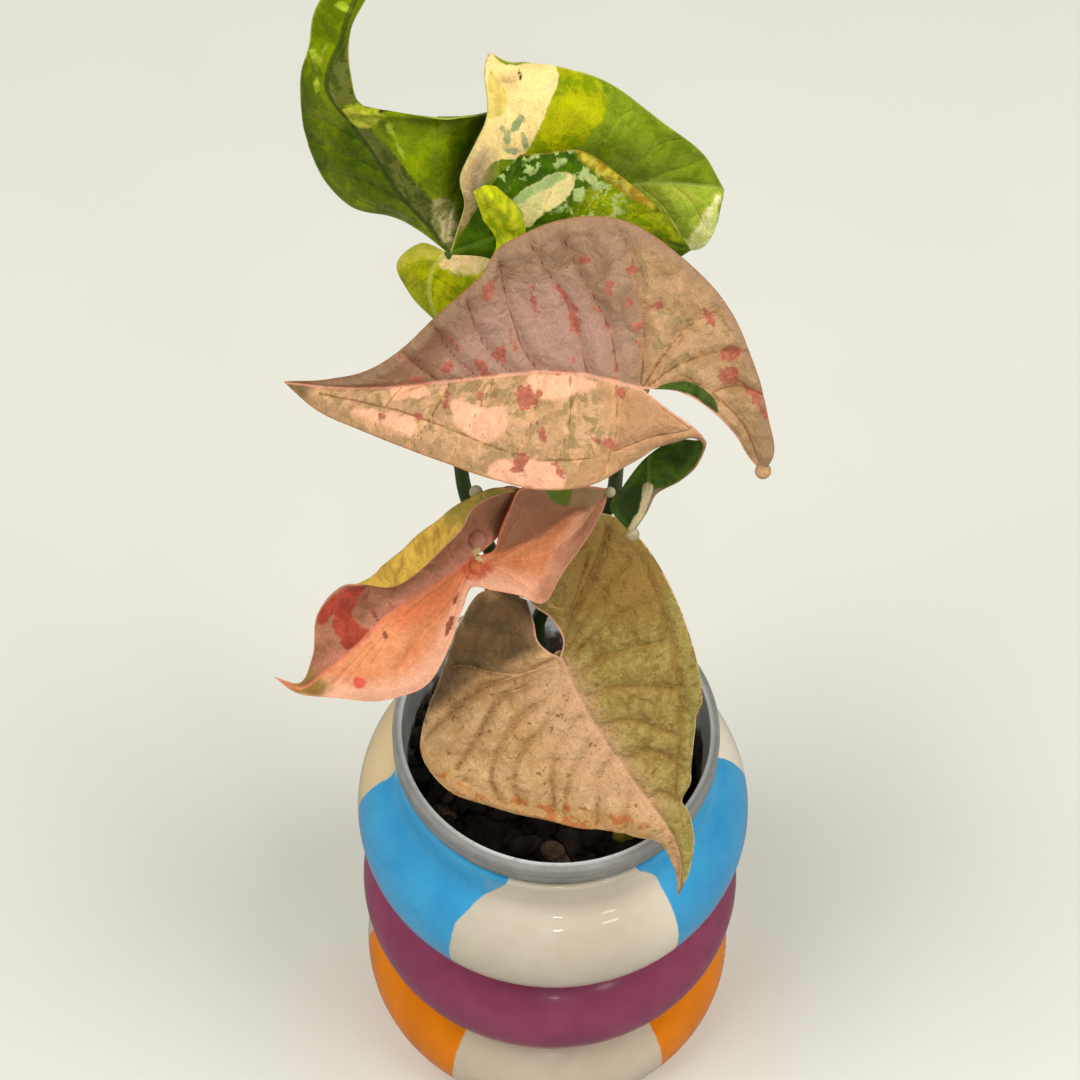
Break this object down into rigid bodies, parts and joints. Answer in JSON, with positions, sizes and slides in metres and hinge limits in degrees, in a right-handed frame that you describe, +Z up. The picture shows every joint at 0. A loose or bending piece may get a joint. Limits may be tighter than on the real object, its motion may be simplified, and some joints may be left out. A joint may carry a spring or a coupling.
{
  "type": "potted syngonium",
  "caption": "Potted syngonium: arrow-shaped leaves on long stalks from a short stem, in a clear cup that sits in the mouth of a glazed pot shaped as stacked rings.",
  "frame": {"origin": "middle of the pot's flat foot, on the surface that it stands on", "axes": "+Z up along the pot's axis; -Y towards the viewer of the picture; +X to the viewer's right"},
  "size_m": [0.1477, 0.1609, 0.4015],
  "materials": {
    "pot_glaze": "glossy glaze: blue and cream top ring, plum middle ring, orange and white bottom ring",
    "cup_plastic": "translucent grey, soft sheen",
    "bark_mix": "damp and dark, with a few lighter chips",
    "stem": "smooth green with paler nodes",
    "green_leaf": "satin, green with cream sectors and pale flecks",
    "pink_leaf": "satin, taupe-pink and peach with dark red flecks",
    "curled_leaf": "satin, salmon orange with a yellow-green rolled side",
    "olive_leaf": "satin, olive tan with ridged veins and brown speckles"
  },
  "bodies": {
    "root": {"glazed_pot": "pot_glaze", "nursery_cup": "cup_plastic", "bark_mix": "bark_mix", "main_stem": "stem", "green_leaf": "green_leaf", "pink_leaf": "pink_leaf", "curled_leaf": "curled_leaf", "olive_leaf": "olive_leaf"}
  },
  "joints": []
}
